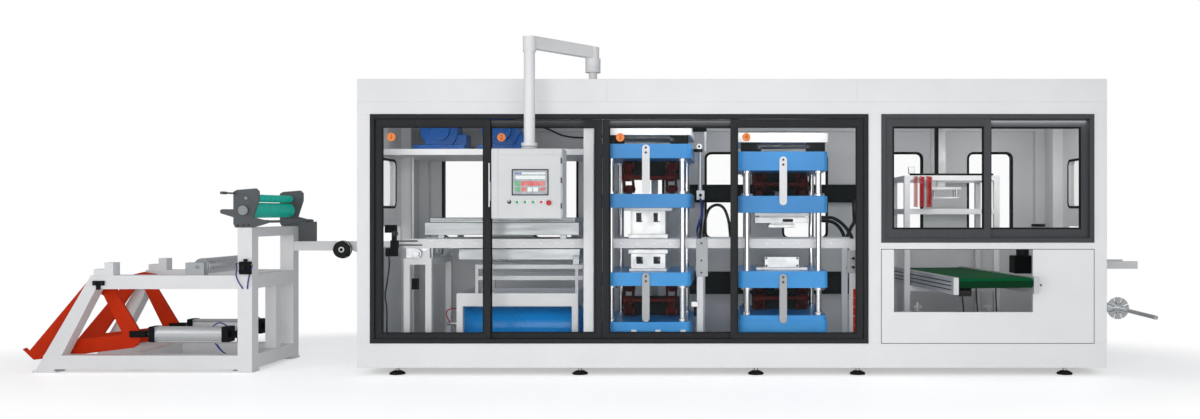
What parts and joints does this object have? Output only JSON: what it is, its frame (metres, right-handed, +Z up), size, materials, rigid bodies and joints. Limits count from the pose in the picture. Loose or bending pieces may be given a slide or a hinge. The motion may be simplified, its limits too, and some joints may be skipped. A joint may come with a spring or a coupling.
{
  "type": "plastic container thermoforming line",
  "caption": "Plastic container thermoforming line: sheet unwinder, glazed cabinet with heaters, toggle presses, stacker and belt outlet, and a scrap winder.",
  "frame": {"origin": "middle of the line's bounding box, at floor level", "axes": "+X along the line from the unwinder to the outfeed, +Y from the operator's side to the back, +Z up"},
  "size_m": [10.543, 2.291, 3.009],
  "materials": {
    "white_enamel": "semi-gloss white powder coat",
    "grey_enamel": "light grey enamel",
    "anthracite_aluminium": "satin anthracite powder coat on aluminium",
    "blue_enamel": "semi-gloss blue enamel",
    "base_blue_enamel": "semi-gloss bright blue enamel",
    "tank_blue_enamel": "semi-gloss deep blue enamel",
    "red_enamel": "gloss red-orange enamel",
    "clear_glass": "clear safety glass",
    "ground_steel": "ground and plated steel",
    "bright_aluminium": "milled aluminium",
    "black_enamel": "black enamel",
    "green_rubber": "teal green polyurethane rubber",
    "green_belt": "green belt with a satin face",
    "red_hose": "red polyurethane hose",
    "red_oxide_enamel": "dark red oxide enamel",
    "black_rubber": "black moulded foot"
  },
  "bodies": {
    "root": {"access_panel": "white_enamel", "air_tank": "tank_blue_enamel", "back_wall": "white_enamel", "base_frame": "white_enamel", "cable_tray": "black_enamel", "chain_rails": "white_enamel", "coiled_hoses": "red_hose", "conveyor_belt": "green_belt", "conveyor_frame": "bright_aluminium", "end_walls": "white_enamel", "front_header": "white_enamel", "front_posts": "white_enamel", "glazing_frames": "anthracite_aluminium", "heater_blowers": "tank_blue_enamel", "heaters": "bright_aluminium", "inner_frame": "white_enamel", "levelling_feet": "black_rubber", "machine_stands": "white_enamel", "nip_frame": "anthracite_aluminium", "outfeed_arms": "grey_enamel", "press_bases": "base_blue_enamel", "press_columns": "ground_steel", "press_crossheads": "blue_enamel", "press_tops": "white_enamel", "roof": "white_enamel", "stacker_frame": "white_enamel", "stacker_lift": "bright_aluminium", "unwinder_frame": "white_enamel", "window_panes": "clear_glass"},
    "form_upper_crank": {"form_upper_crank": "red_oxide_enamel"},
    "form_upper_link": {"form_upper_link": "red_oxide_enamel"},
    "form_upper_table": {"form_upper_platen": "blue_enamel", "form_upper_mould": "bright_aluminium"},
    "form_lower_crank": {"form_lower_crank": "red_oxide_enamel"},
    "form_lower_link": {"form_lower_link": "red_oxide_enamel"},
    "form_lower_table": {"form_lower_platen": "blue_enamel", "form_lower_mould": "bright_aluminium"},
    "trim_upper_crank": {"trim_upper_crank": "red_oxide_enamel"},
    "trim_upper_link": {"trim_upper_link": "red_oxide_enamel"},
    "trim_upper_table": {"trim_upper_platen": "blue_enamel", "trim_upper_die": "bright_aluminium"},
    "trim_lower_crank": {"trim_lower_crank": "red_oxide_enamel"},
    "trim_lower_link": {"trim_lower_link": "red_oxide_enamel"},
    "trim_lower_table": {"trim_lower_platen": "blue_enamel", "trim_lower_die": "bright_aluminium"},
    "door_1": {"sliding_door_1": "anthracite_aluminium"},
    "door_2": {"sliding_door_2": "anthracite_aluminium"},
    "door_3": {"sliding_door_3": "anthracite_aluminium"},
    "door_4": {"sliding_door_4": "anthracite_aluminium"},
    "control_arm": {"control_arm": "white_enamel"},
    "control_box": {"control_box": "white_enamel"},
    "lift_arms": {"lift_arms": "red_enamel"},
    "lift_barrels": {"lift_barrels": "bright_aluminium"},
    "lift_rods": {"lift_rods": "ground_steel"},
    "nip_lower_roller": {"nip_lower_roller": "green_rubber"},
    "nip_upper_roller": {"nip_upper_roller": "green_rubber"},
    "support_roller": {"support_roller": "ground_steel"},
    "hand_wheel": {"hand_wheel": "black_enamel"},
    "scrap_mandrel": {"scrap_mandrel": "ground_steel"}
  },
  "joints": [
    {"name": "door_1_slide", "type": "slide", "parent": "root", "child": "door_1", "axis": [1, 0, 0], "range_m": [0, 1]},
    {"name": "door_2_slide", "type": "slide", "parent": "root", "child": "door_2", "axis": [1, 0, 0], "range_m": [-0.96, 0]},
    {"name": "door_3_slide", "type": "slide", "parent": "root", "child": "door_3", "axis": [1, 0, 0], "range_m": [0, 1.12]},
    {"name": "door_4_slide", "type": "slide", "parent": "root", "child": "door_4", "axis": [1, 0, 0], "range_m": [-1, 0]},
    {"name": "control_arm_swing", "type": "hinge", "parent": "root", "child": "control_arm", "pos_m": [0.0285, -0.3645, 2.815], "axis": [0, 0, 1], "range_deg": [0, 55]},
    {"name": "control_box_swivel", "type": "hinge", "parent": "control_arm", "child": "control_box", "pos_m": [-0.4445, -0.9945, 2.045], "axis": [0, 0, 1], "range_deg": [-28, 28]},
    {"name": "form_upper_toggle", "type": "hinge", "parent": "root", "child": "form_upper_crank", "pos_m": [0.5405, -0.0345, 1.906], "axis": [1, 0, 0], "range_deg": [-22.05, 14.45]},
    {"name": "form_upper_knee", "type": "hinge", "parent": "form_upper_crank", "child": "form_upper_link", "pos_m": [0.5405, -0.1386, 1.798], "axis": [1, 0, 0], "range_deg": [-28.91, 44.11]},
    {"name": "form_upper_table_pivot", "type": "hinge", "parent": "form_upper_link", "child": "form_upper_table", "pos_m": [0.5405, -0.0345, 1.69], "axis": [1, 0, 0], "range_deg": [-22.06, 14.46]},
    {"name": "form_lower_toggle", "type": "hinge", "parent": "root", "child": "form_lower_crank", "pos_m": [0.5405, -0.0345, 0.519], "axis": [-1, 0, 0], "range_deg": [-23.17, 13.33]},
    {"name": "form_lower_knee", "type": "hinge", "parent": "form_lower_crank", "child": "form_lower_link", "pos_m": [0.5405, -0.13648, 0.629], "axis": [-1, 0, 0], "range_deg": [-26.67, 46.35]},
    {"name": "form_lower_table_pivot", "type": "hinge", "parent": "form_lower_link", "child": "form_lower_table", "pos_m": [0.5405, -0.0345, 0.739], "axis": [-1, 0, 0], "range_deg": [-23.18, 13.34]},
    {"name": "trim_upper_toggle", "type": "hinge", "parent": "root", "child": "trim_upper_crank", "pos_m": [1.7925, -0.0345, 1.793], "axis": [1, 0, 0], "range_deg": [0, 36]},
    {"name": "trim_upper_knee", "type": "hinge", "parent": "trim_upper_crank", "child": "trim_upper_link", "pos_m": [1.7925, -0.17154, 1.732], "axis": [1, 0, 0], "range_deg": [-72.01, 0.01]},
    {"name": "trim_upper_table_pivot", "type": "hinge", "parent": "trim_upper_link", "child": "trim_upper_table", "pos_m": [1.7925, -0.0345, 1.671], "axis": [1, 0, 0], "range_deg": [-0.01, 36.01]},
    {"name": "trim_lower_toggle", "type": "hinge", "parent": "root", "child": "trim_lower_crank", "pos_m": [1.7925, -0.0345, 0.579], "axis": [-1, 0, 0], "range_deg": [-4.25, 31.75]},
    {"name": "trim_lower_knee", "type": "hinge", "parent": "trim_lower_crank", "child": "trim_lower_link", "pos_m": [1.7925, -0.16663, 0.65], "axis": [-1, 0, 0], "range_deg": [-63.51, 8.51]},
    {"name": "trim_lower_table_pivot", "type": "hinge", "parent": "trim_lower_link", "child": "trim_lower_table", "pos_m": [1.7925, -0.0345, 0.721], "axis": [-1, 0, 0], "range_deg": [-4.26, 31.76]},
    {"name": "lift_arms_hinge", "type": "hinge", "parent": "root", "child": "lift_arms", "pos_m": [-4.4635, -0.0345, 0.812], "axis": [0, 1, 0], "range_deg": [0, 50]},
    {"name": "lift_barrels_tilt", "type": "hinge", "parent": "root", "child": "lift_barrels", "pos_m": [-3.2645, -0.0345, 0.335], "axis": [0, 1, 0], "range_deg": [-0.254, 0.1]},
    {"name": "lift_rods_slide", "type": "slide", "parent": "lift_barrels", "child": "lift_rods", "axis": [-1, 0, 0], "range_m": [0, 0.4477]},
    {"name": "nip_lower_roller_turn", "type": "hinge", "parent": "root", "child": "nip_lower_roller", "pos_m": [-3.1395, -0.5495, 1.485], "axis": [0, 1, 0], "continuous": true},
    {"name": "nip_upper_roller_turn", "type": "hinge", "parent": "root", "child": "nip_upper_roller", "pos_m": [-3.1215, -0.5495, 1.597], "axis": [0, 1, 0], "continuous": true},
    {"name": "support_roller_turn", "type": "hinge", "parent": "root", "child": "support_roller", "pos_m": [-3.5745, -0.5595, 0.966], "axis": [0, 1, 0], "continuous": true},
    {"name": "hand_wheel_turn", "type": "hinge", "parent": "root", "child": "hand_wheel", "pos_m": [-2.5575, 0.3705, 1.095], "axis": [0, 1, 0], "continuous": true},
    {"name": "scrap_mandrel_turn", "type": "hinge", "parent": "root", "child": "scrap_mandrel", "pos_m": [5.1625, 0.2855, 0.513], "axis": [0, 1, 0], "continuous": true}
  ],
  "couplings": [
    {"joint": "form_upper_knee", "follows": "form_upper_toggle", "ratio": -2},
    {"joint": "form_upper_table_pivot", "follows": "form_upper_toggle", "ratio": 1},
    {"joint": "form_lower_knee", "follows": "form_lower_toggle", "ratio": -2},
    {"joint": "form_lower_table_pivot", "follows": "form_lower_toggle", "ratio": 1},
    {"joint": "trim_upper_knee", "follows": "trim_upper_toggle", "ratio": -2},
    {"joint": "trim_upper_table_pivot", "follows": "trim_upper_toggle", "ratio": 1},
    {"joint": "trim_lower_knee", "follows": "trim_lower_toggle", "ratio": -2},
    {"joint": "trim_lower_table_pivot", "follows": "trim_lower_toggle", "ratio": 1},
    {"joint": "lift_barrels_tilt", "follows": "lift_arms_hinge", "ratio": -0.00407},
    {"joint": "lift_rods_slide", "follows": "lift_arms_hinge", "m_per_rad": 0.51247},
    {"joint": "nip_upper_roller_turn", "follows": "nip_lower_roller_turn", "ratio": -1.9722}
  ]
}
